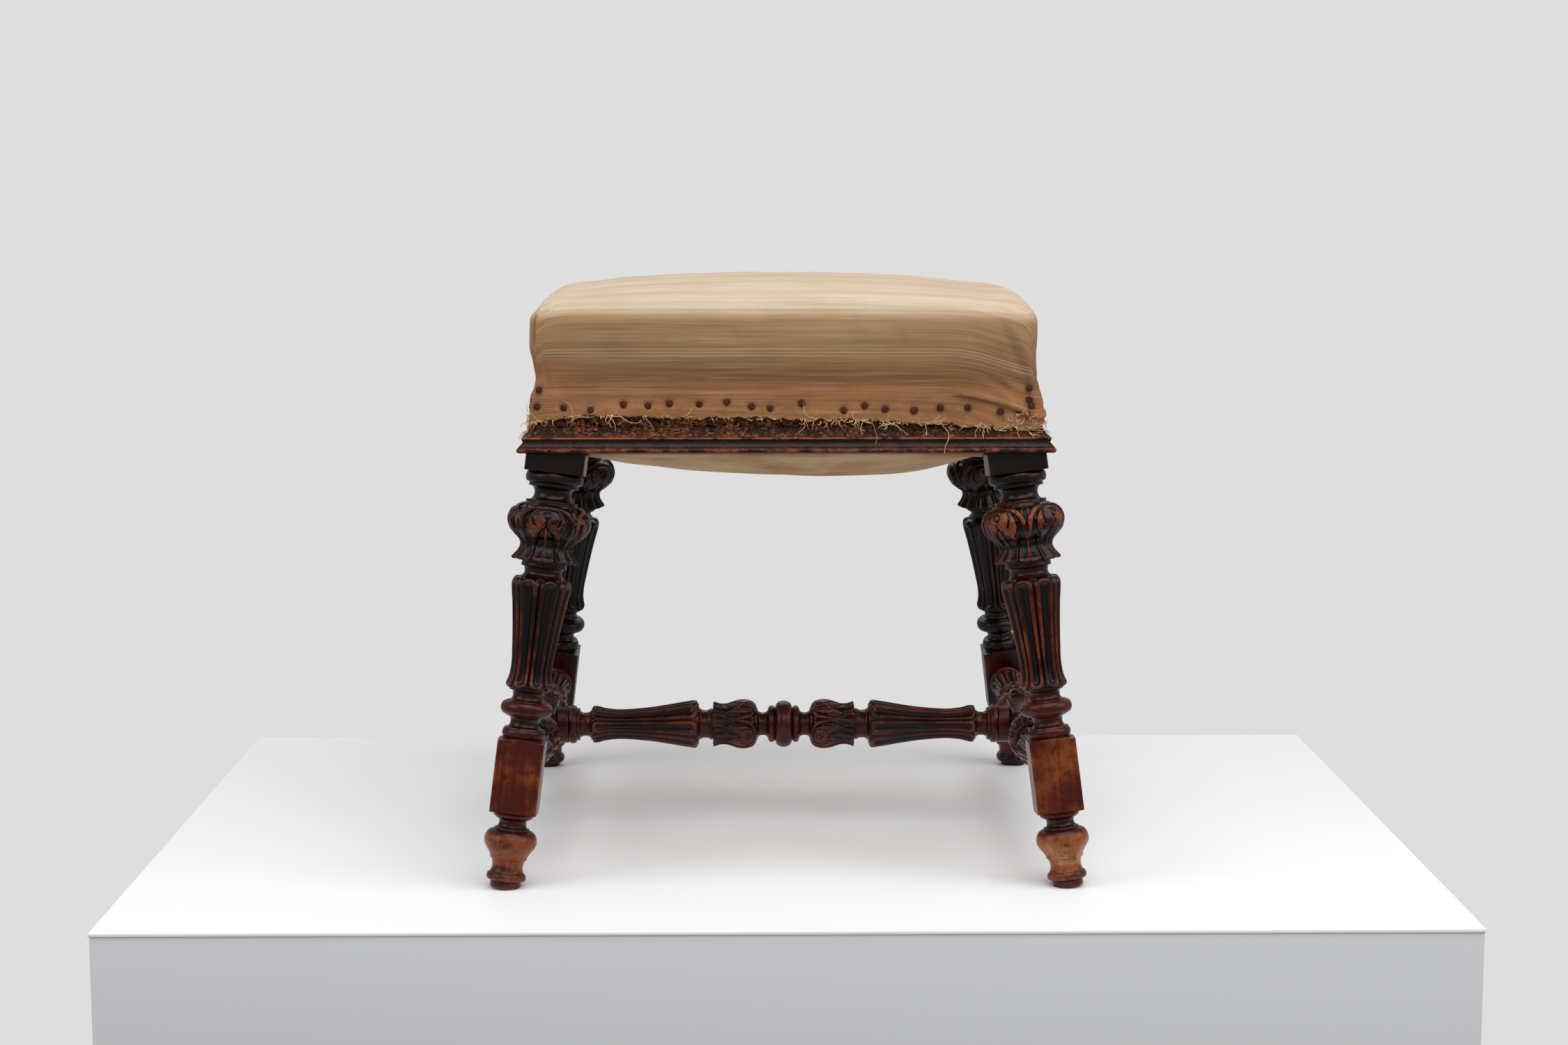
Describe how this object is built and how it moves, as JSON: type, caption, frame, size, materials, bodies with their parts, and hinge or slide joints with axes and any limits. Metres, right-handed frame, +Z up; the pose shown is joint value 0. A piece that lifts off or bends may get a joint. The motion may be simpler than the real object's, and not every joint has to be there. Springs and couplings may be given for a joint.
{
  "type": "upholstered stool with turned legs",
  "caption": "Square stuffed stool on splayed, turned and carved walnut legs, joined low down by an H-shaped stretcher, with a moulded seat frame and a sprung seat under plain ticking.",
  "frame": {"origin": "on the floor, midway between the four feet", "axes": "+Z up; the front faces -Y; +X to the right seen from the front, along the cross stretcher"},
  "size_m": [0.4784, 0.4784, 0.476],
  "materials": {
    "walnut": "polished, worn on the edges",
    "moulding_wood": "worn polish",
    "rail_wood": "bare, dark and dry",
    "ticking": "matt herringbone weave",
    "calico": "matt plain weave",
    "jute": "matt coarse weave",
    "horsehair": "matt fibre",
    "spring_steel": "dull"
  },
  "bodies": {
    "root": {"leg_front_left": "walnut", "leg_front_right": "walnut", "leg_back_right": "walnut", "leg_back_left": "walnut", "side_stretcher_left": "walnut", "side_stretcher_right": "walnut", "cross_stretcher": "walnut", "rail_front": "rail_wood", "rail_right": "rail_wood", "rail_back": "rail_wood", "rail_left": "rail_wood", "moulding_front": "moulding_wood", "moulding_right": "moulding_wood", "moulding_back": "moulding_wood", "moulding_left": "moulding_wood", "webbing_across_1": "jute", "webbing_across_2": "jute", "webbing_across_3": "jute", "webbing_lengthwise_1": "jute", "webbing_lengthwise_2": "jute", "webbing_lengthwise_3": "jute", "spring_1": "spring_steel", "spring_2": "spring_steel", "spring_3": "spring_steel", "spring_4": "spring_steel", "spring_5": "spring_steel", "hessian": "jute", "stuffing": "horsehair", "seat_cover": "ticking", "bottom_cloth": "calico"}
  },
  "joints": []
}
